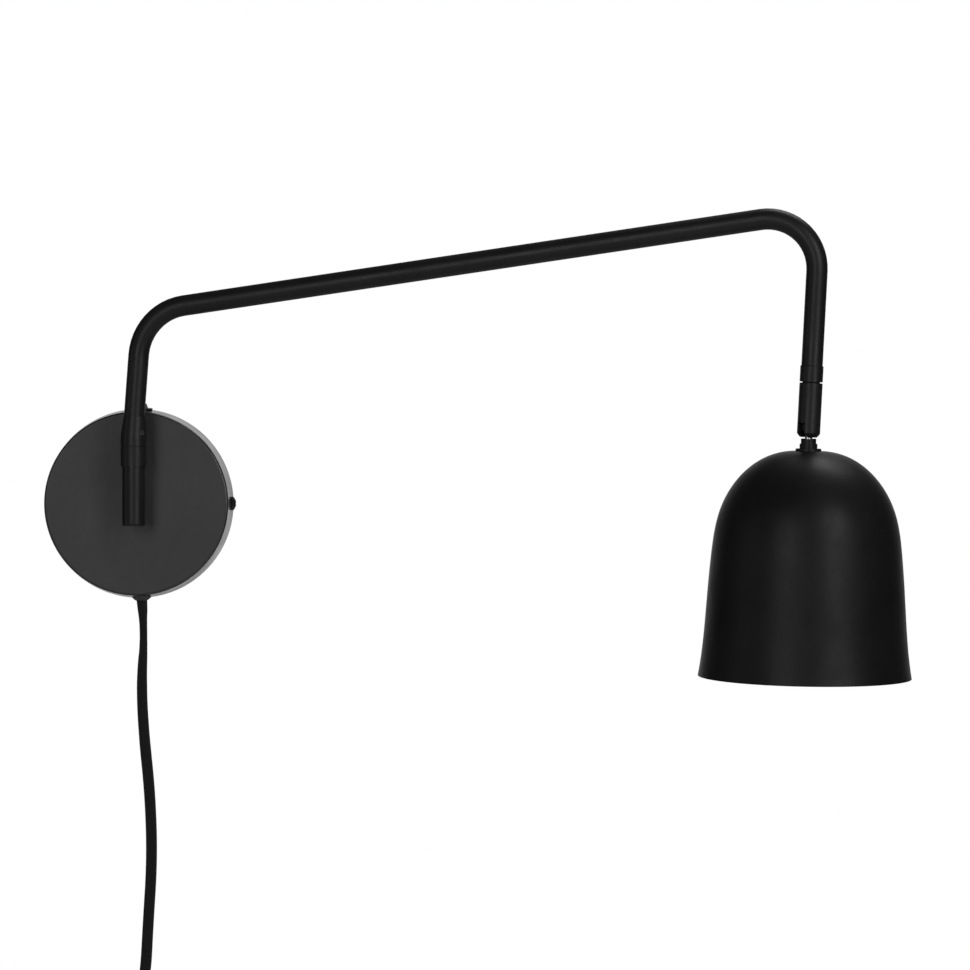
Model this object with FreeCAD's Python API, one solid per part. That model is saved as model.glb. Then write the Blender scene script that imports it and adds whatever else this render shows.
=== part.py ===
"""A plug-in wall lamp with a swinging arm: a round canopy carries an upright post,
a bent tube swings on the post, and a bell shade hangs from the tube's free end on a
swivel knuckle with a slotted ball joint.

Millimetres. The origin is the centre of the canopy's rim, on the wall. +X runs along
the wall to the right, +Z is up, and -Y points out into the room.
"""

import FreeCAD
import Part
import math
import os

from FreeCAD import Vector

# ---- clearances ------------------------------------------------------------------
running_gap = 0.05          # radial, between a turning shaft and its hole
thread_gap = 0.05           # radial, between a screw and the thread that it sits in
seat_gap = 0.02             # between flat faces that are clamped together
free_gap = 0.3              # between pieces of different bodies that only pass

# ---- canopy ----------------------------------------------------------------------
canopy_rear_radius = 55.5
canopy_depth = 23.0
canopy_draft = 4.8          # degrees that the side wall closes towards the front
canopy_wall = 1.2
canopy_edge_radius = 1.5

# ---- wall bracket ----------------------------------------------------------------
bracket_thickness = 2.0
bracket_half_width = 14.0
ear_half_width = 5.0
ear_height = 14.0
ear_gap = 0.4               # between an ear and the canopy's inside
wall_hole_spacing = 80.0
wall_hole_radius = 2.5
cable_hole_radius = 6.0
tab_half_width = 10.0
tab_drop = 42.0             # how far the clamp's tab reaches below the centre

# ---- canopy fixings, by their place on the side wall -----------------------------
screw_depth = 8.0           # of the side screw's axis, in front of the wall
screw_radius = 2.0
screw_head_radius = 4.05
screw_head_height = 2.6
screw_length = 9.0
screw_hole_slack = 0.2      # radial, round the side screw
hook_half_width = 2.5
hook_thickness = 1.5
hook_length = 5.5
fitting_depth = 11.5        # of the switch's and the grommet's axes
switch_angle = 87.0         # degrees round the canopy, from +X towards +Z
grommet_angle = -87.5

# ---- switch ----------------------------------------------------------------------
switch_nut_radius = 5.85
switch_nut_thickness = 1.4
switch_thread_radius = 3.0
switch_cone_base_radius = 3.3
switch_cone_top_radius = 2.3
switch_cone_height = 2.6
lever_gap = 0.15            # round the lever at its pivot
switch_body_length = 13.0
switch_body_width = 8.0
switch_body_height = 11.0
lever_radius = 1.0
lever_tip_radius = 1.5
lever_length = 8.5
lever_tilt = 12.0           # degrees to each side of the middle
pocket_depth = 3.0          # of the switch body's opening for the lever
lug_half_width = 1.2
lug_half_thickness = 0.4
lug_length = 4.0

# ---- cord and its way in ---------------------------------------------------------
cord_width = 6.5
cord_thickness = 4.4
cord_exit_twist = 38.0      # degrees that the flat cord is turned where it leaves
grommet_radius = 5.85
grommet_neck_radius = 4.6
grommet_dome = 3.1
grommet_inner_flange = 1.6
grommet_flange_lip = 1.25   # of the inner flange, beyond the neck
clamp_height = 29.0         # of the cord clamp's centre, below the origin
clamp_screw_radius = 1.5
clamp_head_radius = 2.4
clamp_head_height = 1.7
clamp_screw_x = 7.6
clamp_half_length = 10.5
clamp_half_height = 4.0
clamp_lip = 2.0             # of the front bar, in front of the cord
clamp_split = 0.4           # half the slit between the bars
cord_above_clamp = 7.0      # how far the sheath goes on above the clamp's centre
cord_slot_gap = 0.1         # round the cord in its bush

# ---- post and hinge --------------------------------------------------------------
hinge_depth = 40.0          # of the post's axis, in front of the wall
post_radius = 6.6
post_bottom = -12.9
post_length = 34.4
post_bore_radius = 3.7
post_floor = 7.4            # solid metal under the bore
post_edge_radius = 1.2
collar_radius = 7.5
collar_height = 11.3
spindle_radius = 5.0
spindle_bore_radius = 3.0
spindle_engagement = 8.0    # of the spindle in the post
spindle_rise = 11.2         # of the spindle above the collar
hinge_washer_thickness = 0.55
hinge_washer_radius = 6.9

# ---- neck between canopy and post ------------------------------------------------
nipple_radius = 4.0
nipple_bore_radius = 2.8
nipple_inside = 9.0         # behind the canopy's face
neck_sleeve_radius = 5.0
neck_nut_half_width = 6.5
neck_nut_thickness = 4.5
lock_washer_thickness = 1.0
lock_washer_radius = 7.5
neck_cable_stub = 1.5       # of the cable, behind the nipple

# ---- ferrule ---------------------------------------------------------------------
ferrule_height = 17.0
ferrule_straight = 5.6      # its round lower part, before it leans over
ferrule_top_radius = 6.6
ferrule_top_shift = 0.75    # of its top edge, along the arm
socket_depth = 5.2          # of the tube in the ferrule
grub_height = 7.6           # above the ferrule's lower end
grub_radius = 1.5
grub_tip_radius = 1.0
grub_azimuth = 47.5         # degrees from -Y towards +X
groove_depth = 0.8
groove_half_height = 1.3
grub_socket_half_width = 0.75
grub_socket_depth = 1.2
grub_sink = 0.2             # of its end, below the ferrule's surface

# ---- arm tube --------------------------------------------------------------------
arm_swing_out = 11.2        # degrees from the wall's plane as it stands here
tube_radius = 6.0
tube_wall = 1.2
upright_offset = 0.38       # of the tube's axis, at the ferrule's top
upright_cant = 4.28         # degrees
first_corner_height = 110.9
first_bend_radius = 31.0
arm_rise = 7.75             # degrees
arm_run = 393.6
second_bend_radius = 28.0
drop_lean = 3.02            # degrees
drop_length = 87.0
inner_cable_radius = 2.2

# ---- knuckle, measured down the dropped tube -------------------------------------
end_collar_radius = 6.5
end_collar_length = 9.0
end_spigot_length = 8.0
core_radius = 4.0
core_bore_radius = 2.5
core_engagement = 7.0
swivel_washer_radius = 4.95
swivel_slit = 0.65
housing_radius = 6.5
housing_length = 30.45
housing_bore_radius = 5.35
housing_dome_radius = 7.4   # of its rounded lower end, about the ball's centre
housing_top_edge = 0.4
housing_cap_thickness = 4.0
thrust_washer_thickness = 0.5
core_nut_thickness = 3.4
core_nut_radius = 5.0
seat_ring_thickness = 1.0
disc_spring_count = 4
disc_spring_thickness = 0.5
disc_spring_cone = 0.35
disc_spring_hole_radius = 3.0
ball_radius = 4.7
ball_height = 5.8           # of its centre, above the housing's lower end
mouth_radius = 4.2
slot_half_width = 2.4
slot_azimuth = 46.0         # degrees from -Y towards -X
head_lean = 3.04            # degrees that the head hangs away from the slot
stem_radius = 2.1
stem_bore_radius = 1.5

# ---- shade and what clamps it, measured down from the ball's centre --------------
cup_clearance = 7.9         # radius of the hollow on top of the neck
neck_radius = 4.3
neck_length = 2.80
thread_radius = 5.0
washer_top = 12.2
washer_radius = 7.2
washer_thickness = 1.3
shade_wall = 1.2
shade_height = 127.0
shade_crown_radius = 9.0
shade_dome_radius = 31.8
shade_dome_height = 8.7
shade_shoulder_radius = 48.05
shade_shoulder_height = 31.0
shade_waist_radius = 53.5
shade_waist_height = 58.0
shade_skirt_radius = 55.7
shade_skirt_height = 84.9
shade_flare_radius = 57.5
shade_flare_height = 108.5
shade_rim_radius = 60.0
shade_hole_gap = 0.2

# ---- lampholder and lamp ---------------------------------------------------------
holder_cap_height = 15.0
holder_cap_top_radius = 8.5
holder_radius = 13.2
holder_height = 33.0
holder_wall = 1.6
holder_mouth_depth = 26.0
holder_ring_radius = 16.5
holder_ring_height = 6.0
holder_ring_drop = 8.0      # of its top, below the cap's lower edge
ring_notch_count = 24
ring_notch_radius = 0.7
holder_shoulder = 6.5       # height of the cap's cone
holder_floor_thickness = 1.0
stem_thread_length = 6.0    # of the neck's thread inside the cap
shell_mouth = 4.0           # how far the metal shell stays behind the holder's mouth
contact_height = 1.2
contact_half_length = 7.0
contact_half_width = 2.0
contact_thickness = 0.8
contact_nose_radius = 1.8
lamp_cap_radius = 6.9
lamp_cap_length = 21.0
cap_ridge_count = 5
cap_ridge_pitch = 2.82
cap_ridge_depth = 0.7
cap_insulator_height = 3.0
cap_insulator_radius = 5.2
cap_contact_radius = 2.4
cap_contact_height = 1.0
lamp_foot_radius = 7.3      # of the collar, where it meets the cap
lamp_collar_radius = 10.5
lamp_globe_radius = 22.5
lamp_length = 78.0
wire_radius = 0.65
wire_half_pitch = 0.72

# ---- terminal block --------------------------------------------------------------
block_centre_x = -24.0
block_length = 18.0
block_height = 11.0
block_pitch = 7.0
block_hole_radius = 1.6
block_screw_radius = 1.4
terminal_screw_sink = 0.6
terminal_slot_half_width = 0.25
terminal_slot_depth = 0.5
core_offset = 1.3           # of each of the cord's cores, from the cord's middle
lead_radius = 1.1
low_lead_level = -18.0      # of the leads' level runs below and above the block
low_lead_step = 6.0
high_lead_level = 12.5
high_lead_step = 3.0
lead_gap = 0.5              # between a lead and what it is soldered or crimped to

# ---- power cord outside ----------------------------------------------------------
# the points that the hanging cord is drawn towards, as (x, y, z)
cord_route = [
    (2.6, -11.5, -57.9),
    (4.0, -11.6, -76.0),
    (2.2, -11.9, -104.0),
    (3.6, -12.2, -134.0),
    (7.4, -12.4, -170.0),
    (8.6, -12.5, -208.0),
    (6.2, -12.5, -246.0),
    (4.6, -12.6, -278.0),
    (-1.5, -12.7, -297.0),
    (-17.0, -12.9, -311.0),
    (-35.0, -13.1, -324.0),
    (-43.0, -13.3, -342.0),
    (-41.5, -13.4, -360.5),
]
coil_centre_x = 5.0
coil_centre_y = -13.2
coil_centre_z = -362.0
coil_radius = 36.0          # at the middle of the turns
coil_half_width = 9.9       # of the bundle, across the turns
coil_half_depth = 10.0      # of the bundle, off the wall
tie_width = 10.0
tie_thickness = 1.4
tie_angle = 190.0           # degrees round the coil, from +X towards +Z
tail_route = [
    (-35.8, -13.6, -381.0),
    (-38.5, -13.4, -399.5),
    (-38.5, -13.4, -417.5),
]
plug_length = 36.0
plug_half_width = 13.0
plug_half_thickness = 6.8
plug_relief_length = 21.0
plug_relief_radius = 4.6
pin_radius = 2.0
pin_length = 19.0
pin_spacing = 18.6

# ---- worked out ------------------------------------------------------------------
draft_slope = math.tan(math.radians(canopy_draft))
post_top = post_bottom + post_length
collar_top = post_top + collar_height
ferrule_bottom = collar_top + hinge_washer_thickness + 2 * seat_gap
ferrule_top = ferrule_bottom + ferrule_height
spindle_top = collar_top + spindle_rise
hinge_foot = Vector(0, -hinge_depth, 0)
up = Vector(0, 0, 1)


# ---- helpers ---------------------------------------------------------------------
def cylinder(radius, start, end):
    """A round bar from one point to another."""
    axis = end - start
    return Part.makeCylinder(radius, axis.Length, start, axis)


def cone(start_radius, end_radius, start, end):
    axis = end - start
    return Part.makeCone(start_radius, end_radius, axis.Length, start, axis)


def ring(outer, inner, start, end):
    """A round sleeve or washer from one point to another."""
    return cylinder(outer, start, end).cut(cylinder(inner, start, end))


def box(x0, x1, y0, y1, z0, z1):
    return Part.makeBox(x1 - x0, y1 - y0, z1 - z0, Vector(x0, y0, z0))


def hexagon(half_width, hole_radius, start, end):
    """A nut, half_width from its centre to a flat."""
    axis = end - start
    corner = half_width / math.cos(math.radians(30))
    points = []
    for k in range(7):
        angle = math.radians(60 * k + 30)
        points.append(Vector(corner * math.cos(angle), corner * math.sin(angle), 0))
    prism = Part.Face(Part.makePolygon(points)).extrude(Vector(0, 0, axis.Length))
    prism = prism.cut(Part.makeCylinder(hole_radius, axis.Length))
    prism.Placement = FreeCAD.Placement(start, FreeCAD.Rotation(Vector(0, 0, 1), axis))
    return prism


def turned(edges):
    """The solid that a closed outline in the XZ plane sweeps round the Z axis."""
    return Part.Face(Part.Wire(edges)).revolve(Vector(0, 0, 0), up, 360)


def outline_edges(points):
    """Straight edges through (radius, height) points, closed."""
    corners = [Vector(r, 0, z) for r, z in points]
    corners.append(corners[0])
    return [Part.makeLine(a, b) for a, b in zip(corners, corners[1:])]


def turned_outline(points):
    return turned(outline_edges(points))


def bend(before, corner, after, radius=None):
    """Where a path's arc round a corner starts, its middle and its end, and its radius.

    With no radius it is as large as the runs on both sides leave room for."""
    back = (before - corner).normalize()
    ahead = (after - corner).normalize()
    turn = math.pi - back.getAngle(ahead)
    if radius is None:
        shorter = min((before - corner).Length, (after - corner).Length)
        radius = 0.45 * shorter / math.tan(turn / 2)
    reach = radius * math.tan(turn / 2)
    inward = (back + ahead).normalize()
    middle = corner + inward * (radius / math.cos(turn / 2) - radius)
    return corner + back * reach, middle, corner + ahead * reach, radius


def path(points, radii=None):
    """A wire of straight runs joined by tangent arcs, and the arcs' radii."""
    edges = []
    used = []
    start = points[0]
    for k in range(1, len(points) - 1):
        wanted = radii[k - 1] if radii else None
        a, middle, b, radius = bend(points[k - 1], points[k], points[k + 1], wanted)
        edges.append(Part.makeLine(start, a))
        edges.append(Part.Arc(a, middle, b).toShape())
        used.append(radius)
        start = b
    edges.append(Part.makeLine(start, points[-1]))
    return Part.Wire(edges), used


def tube_along(points, radius, radii=None):
    """A round bar that follows a path."""
    wire, _ = path(points, radii)
    along = (points[1] - points[0]).normalize()
    circle = Part.Wire(Part.makeCircle(radius, points[0], along))
    return wire.makePipeShell([circle], True, False)


def flat_section(width, thickness, start, end, twist):
    """A flat bar with round edges. Its width is turned by twist degrees from +X."""
    length = (end - start).Length
    half = (width - thickness) / 2
    bar = box(-half, half, -thickness / 2, thickness / 2, 0, length)
    for side in (-half, half):
        bar = bar.fuse(Part.makeCylinder(thickness / 2, length, Vector(side, 0, 0)))
    bar = bar.removeSplitter()
    bar.rotate(Vector(0, 0, 0), up, twist)
    bar.Placement = FreeCAD.Placement(start, FreeCAD.Rotation(up, end - start)).multiply(
        bar.Placement)
    return bar


def placed(shape, placement):
    copy = shape.copy()
    copy.Placement = placement.multiply(copy.Placement)
    return copy


def frame_from(origin, x_axis, z_axis):
    """A placement whose Z is z_axis and whose X is as near to x_axis as it can be."""
    z = Vector(z_axis).normalize()
    y = z.cross(x_axis).normalize()
    x = y.cross(z)
    matrix = FreeCAD.Matrix(
        x.x, y.x, z.x, origin.x,
        x.y, y.y, z.y, origin.y,
        x.z, y.z, z.z, origin.z,
        0, 0, 0, 1)
    return FreeCAD.Placement(matrix)


# ---- places ----------------------------------------------------------------------
def canopy_radius(depth):
    """The canopy's outer radius this far in front of the wall."""
    return canopy_rear_radius - depth * draft_slope


def canopy_place(angle, depth):
    """On the canopy's side wall: Z is the way out, X runs towards the wall behind."""
    turn = math.radians(angle)
    draft = math.radians(canopy_draft)
    outward = Vector(math.cos(turn), 0, math.sin(turn))
    origin = outward * canopy_radius(depth) + Vector(0, -depth, 0)
    normal = outward * math.cos(draft) + Vector(0, -math.sin(draft), 0)
    return frame_from(origin, Vector(0, 1, 0), normal)


swing = math.radians(arm_swing_out)
arm_way = Vector(math.cos(swing), -math.sin(swing), 0)


def in_arm(along, height):
    """A point in the arm's upright plane."""
    return hinge_foot + arm_way * along + Vector(0, 0, height)


def arm_direction(along, height):
    return arm_way * along + Vector(0, 0, height)


cant = math.radians(upright_cant)
rise = math.radians(arm_rise)
lean = math.radians(drop_lean)
upright_way = arm_direction(math.sin(cant), math.cos(cant))
arm_run_way = arm_direction(math.cos(rise), math.sin(rise))
drop_way = arm_direction(-math.sin(lean), -math.cos(lean))
upright_through = in_arm(upright_offset, ferrule_top)
first_corner = upright_through + upright_way * (
    (first_corner_height - ferrule_top) / math.cos(cant))
second_corner = first_corner + arm_run_way * (arm_run / math.cos(rise))
tube_end = second_corner + drop_way * drop_length
tube_start = upright_through - upright_way * socket_depth
arm_points = [tube_start, first_corner, second_corner, tube_end]
arm_radii = [first_bend_radius, second_bend_radius]

slot_turn = math.radians(slot_azimuth)
slot_level = Vector(-math.sin(slot_turn), -math.cos(slot_turn), 0)
knuckle_place = frame_from(tube_end, slot_level, drop_way * -1)
housing_top = -(end_collar_length + swivel_slit)
housing_bottom = housing_top - housing_length
ball_centre_height = housing_bottom + ball_height
ball_centre = knuckle_place.multVec(Vector(0, 0, ball_centre_height))
head_place = knuckle_place.multiply(FreeCAD.Placement(
    Vector(0, 0, ball_centre_height),
    FreeCAD.Rotation(Vector(0, 1, 0), head_lean)))


def local_z(height):
    return Vector(0, 0, height)


# ---- wall side -------------------------------------------------------------------
def canopy_outline(inset):
    """The canopy's closed profile as (radius, depth) edges, inset by a wall."""
    rear = canopy_rear_radius - inset / math.cos(math.radians(canopy_draft))
    front = canopy_depth - inset
    edge = max(canopy_edge_radius - inset, 0.3)
    corner_radius = rear - front * draft_slope
    back_edge = Vector(rear, 0, 0)
    corner = Vector(corner_radius, 0, front)
    centre = Vector(0, 0, front)
    a, middle, b, _ = bend(back_edge, corner, centre, edge)
    return [
        Part.makeLine(Vector(0, 0, 0), back_edge),
        Part.makeLine(back_edge, a),
        Part.Arc(a, middle, b).toShape(),
        Part.makeLine(b, centre),
        Part.makeLine(centre, Vector(0, 0, 0)),
    ]


facing_room = FreeCAD.Placement(Vector(0, 0, 0), FreeCAD.Rotation(Vector(1, 0, 0), 90))
screw_place = canopy_place(0, screw_depth)
hook_place = canopy_place(180, screw_depth)
switch_place = canopy_place(switch_angle, fitting_depth)
grommet_place = canopy_place(grommet_angle, fitting_depth)


def canopy():
    shell = turned(canopy_outline(0)).cut(turned(canopy_outline(canopy_wall)))
    shell = placed(shell, facing_room)
    through = 2 * canopy_wall
    holes = [
        (screw_place, screw_radius + screw_hole_slack),
        (switch_place, switch_thread_radius + thread_gap),
        (grommet_place, grommet_neck_radius + thread_gap),
    ]
    for place, radius in holes:
        hole = Part.makeCylinder(radius, 2 * through, local_z(-through))
        shell = shell.cut(placed(hole, place))
    face_hole = cylinder(nipple_radius + thread_gap, Vector(0, -canopy_depth - 1, 0),
                         Vector(0, -canopy_depth + through, 0))
    return shell.cut(face_hole)


def ear(place, hole):
    """A bent-up ear, parallel to the canopy's side wall."""
    outer = -canopy_wall - ear_gap
    behind = screw_depth / math.cos(math.radians(canopy_draft))
    plate = box(behind - ear_height, behind, -ear_half_width, ear_half_width,
                outer - bracket_thickness, outer)
    return placed(plate.cut(hole), place)


def wall_bracket():
    """A crossbar on the wall with two ears, and a tab that carries the cord clamp."""
    slack = 2 * bracket_thickness
    screw_hole = Part.makeCylinder(screw_radius + thread_gap, 2 * slack + canopy_wall,
                                   local_z(-2 * slack))
    hook_hole = box(-hook_thickness / 2 - free_gap, hook_thickness / 2 + free_gap,
                    -hook_half_width - free_gap, hook_half_width + free_gap,
                    -2 * slack, slack)
    right = ear(screw_place, screw_hole)
    left = ear(hook_place, hook_hole)
    reach = canopy_rear_radius - (canopy_wall + ear_gap) / math.cos(
        math.radians(canopy_draft))
    bar = box(-reach, reach, -bracket_thickness, 0, -ear_half_width, ear_half_width)
    middle = box(-reach + slack, reach - slack, -bracket_thickness, 0,
                 -bracket_half_width, bracket_half_width)
    tab = box(-tab_half_width, tab_half_width, -bracket_thickness, 0, -tab_drop, 0)
    plate = bar.fuse([middle, tab, right, left])
    behind_wall = box(-reach - slack, reach + slack, 0, slack, -tab_drop, tab_drop)
    plate = plate.cut(behind_wall).removeSplitter()
    cuts = [(x, wall_hole_radius) for x in (-wall_hole_spacing / 2, wall_hole_spacing / 2)]
    cuts.append((0, cable_hole_radius))
    for x, radius in cuts:
        plate = plate.cut(cylinder(radius, Vector(x, 1, 0), Vector(x, -slack, 0)))
    for x in (-clamp_screw_x, clamp_screw_x):
        plate = plate.cut(cylinder(clamp_screw_radius + thread_gap,
                                   Vector(x, 1, -clamp_height),
                                   Vector(x, -slack, -clamp_height)))
    return plate


def canopy_hook():
    """The tongue inside the canopy that goes through the left ear."""
    tongue = box(-hook_thickness / 2, hook_thickness / 2, -hook_half_width,
                 hook_half_width, -canopy_wall - hook_length, -canopy_wall - running_gap * 2)
    return placed(tongue, hook_place)


def pan_head(radius, height, recess):
    """A domed screw head on z = 0 with a cross recess."""
    rim = height * 0.35
    dome_height = height - rim
    dome_radius = (radius ** 2 + dome_height ** 2) / (2 * dome_height)
    dome = Part.makeSphere(dome_radius, local_z(height - dome_radius))
    head = Part.makeCylinder(radius, height).common(dome)
    arm = recess * 0.22
    for a, b in ((recess, arm), (arm, recess)):
        head = head.cut(box(-a, a, -b, b, height * 0.45, height + 1))
    return head


def screw(radius, length, head_radius, head_height):
    """A pan-head screw whose head sits on z = 0 and whose shank points down."""
    shank = Part.makeCylinder(radius, length, local_z(-length))
    return shank.fuse(pan_head(head_radius, head_height, head_radius * 0.55))


def canopy_screw():
    body = screw(screw_radius, screw_length, screw_head_radius, screw_head_height)
    return placed(body, FreeCAD.Placement(screw_place.multVec(local_z(seat_gap)),
                                          screw_place.Rotation))


def on_flat(shape, x, y, z):
    """Turns a piece drawn along +Z so that it points into the room, at a point."""
    return placed(shape, FreeCAD.Placement(Vector(x, y, z), facing_room.Rotation))


# ---- switch ----------------------------------------------------------------------
switch_pivot = switch_cone_height * 0.4 + switch_nut_thickness


def switch_bushing():
    """The switch's threaded neck, which ends in a cone that the lever comes out of."""
    top = switch_nut_thickness + switch_cone_height
    below = canopy_wall + 2 * free_gap
    neck = Part.makeCylinder(switch_thread_radius, below + switch_nut_thickness,
                             local_z(-below))
    tip = Part.makeCone(switch_cone_base_radius, switch_cone_top_radius,
                        switch_cone_height, local_z(switch_nut_thickness + seat_gap))
    whole = neck.fuse(Part.makeCylinder(switch_thread_radius, 2 * seat_gap,
                                        local_z(switch_nut_thickness - seat_gap)))
    whole = whole.fuse(tip)
    room = math.tan(math.radians(lever_tilt))
    lever_room = lever_radius / math.cos(math.radians(lever_tilt)) + lever_gap
    height = top - switch_pivot + 1
    flare = Part.makeCone(lever_room, lever_room + height * room, height,
                          local_z(switch_pivot))
    depth = switch_pivot + below
    well = Part.makeCone(lever_room + depth * room, lever_room, depth, local_z(-below))
    return placed(whole.cut(flare).cut(well), switch_place)


def switch_nut():
    nut = ring(switch_nut_radius, switch_thread_radius + thread_gap,
               local_z(seat_gap), local_z(switch_nut_thickness - seat_gap))
    return placed(nut, switch_place)


switch_body_top = -canopy_wall - 2 * free_gap - seat_gap
lug_bottom = switch_body_top - switch_body_height - lug_length


def switch_body():
    top = switch_body_top
    half_l = switch_body_length / 2
    half_w = switch_body_width / 2
    body = box(-half_l, half_l, -half_w, half_w, top - switch_body_height, top)
    pocket = Part.makeCylinder(2 * lever_radius, pocket_depth, local_z(top - pocket_depth))
    body = body.cut(pocket)
    for x in (-half_l / 2, half_l / 2):
        lug = box(x - lug_half_width, x + lug_half_width, -lug_half_thickness,
                  lug_half_thickness, lug_bottom, top - switch_body_height)
        body = body.fuse(lug)
    return placed(body, switch_place)


lever_place = switch_place.multiply(FreeCAD.Placement(
    local_z(switch_pivot), FreeCAD.Rotation(Vector(1, 0, 0), -lever_tilt)))


def switch_lever():
    """A bat lever, thicker towards its round tip."""
    reach = lever_length
    foot = switch_pivot + canopy_wall
    stalk = Part.makeCylinder(lever_radius, foot, local_z(-foot * 0.6))
    bat = Part.makeCone(lever_radius, lever_tip_radius, reach - lever_tip_radius)
    tip = Part.makeSphere(lever_tip_radius, local_z(reach - lever_tip_radius))
    return placed(stalk.fuse([bat, tip]).removeSplitter(), lever_place)


# ---- cord entry ------------------------------------------------------------------
inner_cord_end = -clamp_height + cord_above_clamp


def on_cord_axis(height):
    """Where the cord's first run, carried on into the canopy, is at a height."""
    mouth, below = Vector(*cord_route[0]), Vector(*cord_route[1])
    return mouth + (mouth - below) * ((height - mouth.z) / (mouth.z - below.z))


def cord_grommet():
    """A domed rubber bush with a flat hole, held in the canopy by its inner flange."""
    dome_ball = (grommet_radius ** 2 + grommet_dome ** 2) / (2 * grommet_dome)
    dome = Part.makeSphere(dome_ball, local_z(grommet_dome - dome_ball))
    dome = dome.common(Part.makeCylinder(grommet_radius, 2 * grommet_dome, local_z(seat_gap)))
    neck = Part.makeCylinder(grommet_neck_radius, canopy_wall + 4 * free_gap,
                             local_z(-canopy_wall - 2 * free_gap))
    inner = Part.makeCylinder(grommet_neck_radius + grommet_flange_lip - free_gap,
                              grommet_inner_flange,
                              local_z(-canopy_wall - free_gap - grommet_inner_flange))
    bush = placed(dome.fuse([neck, inner]).removeSplitter(), grommet_place)
    return bush.cut(cord_in_canopy(cord_slot_gap))


def cord_in_canopy(extra):
    """The flat cord from the grommet's mouth up to the clamp."""
    return flat_section(cord_width + 2 * extra, cord_thickness + 2 * extra,
                        Vector(*cord_route[0]), on_cord_axis(inner_cord_end),
                        cord_exit_twist)


def cord_tail():
    return cord_in_canopy(0)


clamp_centre = on_cord_axis(-clamp_height)


def cord_clamp():
    """Two bars, one behind and one before the cord, on the bracket's tab."""
    cord_x, cord_y = clamp_centre.x, clamp_centre.y
    back = -bracket_thickness - seat_gap
    front = cord_y - cord_width / 2 - clamp_lip
    blank = box(cord_x - clamp_half_length, cord_x + clamp_half_length, front, back,
                -clamp_height - clamp_half_height, -clamp_height + clamp_half_height)
    hole = flat_section(cord_width + 2 * thread_gap, cord_thickness + 2 * thread_gap,
                        on_cord_axis(-clamp_height - 2 * clamp_half_height),
                        on_cord_axis(-clamp_height + 2 * clamp_half_height),
                        cord_exit_twist)
    blank = blank.cut(hole)
    split = box(cord_x - clamp_half_length - 1, cord_x + clamp_half_length + 1,
                cord_y - clamp_split, cord_y + clamp_split,
                -clamp_height - 2 * clamp_half_height, -clamp_height + 2 * clamp_half_height)
    blank = blank.cut(split)
    for x in (-clamp_screw_x, clamp_screw_x):
        blank = blank.cut(cylinder(clamp_screw_radius + thread_gap,
                                   Vector(x, front - 1, -clamp_height),
                                   Vector(x, back + 1, -clamp_height)))
    return blank


def clamp_screws():
    front = clamp_centre.y - cord_width / 2 - clamp_lip - seat_gap
    length = -front - bracket_thickness / 10
    body = screw(clamp_screw_radius, length, clamp_head_radius, clamp_head_height)
    screws = [on_flat(body, x, front, -clamp_height) for x in (-clamp_screw_x, clamp_screw_x)]
    return Part.makeCompound(screws)


# ---- terminal block and leads ----------------------------------------------------
block_back = -bracket_thickness - seat_gap
block_front = block_back - block_height
wire_depth = (block_back + block_front) / 2
pole_xs = [block_centre_x + k * block_pitch for k in (-1, 0, 1)]
block_screw_heights = (-block_length / 4, block_length / 4)


def terminal_block():
    """Three poles side by side, with the leads' holes upright."""
    half_width = block_pitch * 1.5
    block = box(block_centre_x - half_width, block_centre_x + half_width, block_front,
                block_back, -block_length / 2, block_length / 2)
    for x in pole_xs:
        block = block.cut(cylinder(block_hole_radius, Vector(x, wire_depth, -block_length),
                                   Vector(x, wire_depth, block_length)))
        for z in block_screw_heights:
            block = block.cut(cylinder(block_screw_radius, Vector(x, block_front - 1, z),
                                       Vector(x, wire_depth, z)))
    return block


def terminal_screws():
    screws = []
    for x in pole_xs:
        for z in block_screw_heights:
            body = cylinder(block_screw_radius - thread_gap,
                            Vector(x, wire_depth - lead_radius - seat_gap, z),
                            Vector(x, block_front + terminal_screw_sink, z))
            cut = box(x - block_screw_radius, x + block_screw_radius, block_front,
                      block_front + terminal_screw_sink + terminal_slot_depth,
                      z - terminal_slot_half_width, z + terminal_slot_half_width)
            screws.append(body.cut(cut))
    return Part.makeCompound(screws)


def lead(points):
    return tube_along([Vector(*p) for p in points], lead_radius)


def into_pole(x, level):
    """A lead's last points: along at a level, then straight into the block."""
    inside = math.copysign(block_length / 4, level)
    return [(x, wire_depth, level), (x, wire_depth, inside)]


def core_start(side):
    """Where one of the cord's two cores leaves the sheath, beside the other."""
    centre = on_cord_axis(inner_cord_end + lead_gap)
    twist = math.radians(cord_exit_twist)
    step = side * core_offset
    return centre.x + step * math.cos(twist), centre.y - step * math.sin(twist), centre.z


def supply_leads():
    """The cord's two cores, from the end of its sheath up into the block."""
    left, right = core_start(-1), core_start(1)
    live = [left, (left[0], left[1], low_lead_level)] + into_pole(pole_xs[0], low_lead_level)
    level = low_lead_level + low_lead_step
    neutral = [right, (right[0], right[1], level)] + into_pole(pole_xs[2], level)
    return Part.makeCompound([lead(live), lead(neutral)])


def lamp_leads():
    """The two cores of the lamp's own cable, from the neck up into the block."""
    start = -canopy_depth + nipple_inside + neck_cable_stub + lead_gap
    neutral = [(0, start, 1.05), (-0.4, wire_depth - 0.5, 1.6),
               (-1.4, wire_depth, high_lead_level)] + into_pole(pole_xs[2], high_lead_level)
    live = [(0, start, -1.15), (1.6, wire_depth - 0.5, -0.6),
            (2.6, wire_depth, high_lead_level + high_lead_step)]
    live += into_pole(pole_xs[1], high_lead_level + high_lead_step)
    return Part.makeCompound([lead(neutral), lead(live)])


def switch_lug_end(side):
    lug = switch_place.multVec(Vector(side * switch_body_length / 4, 0, lug_bottom - lead_gap))
    return lug.x, lug.y, lug.z


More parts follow.
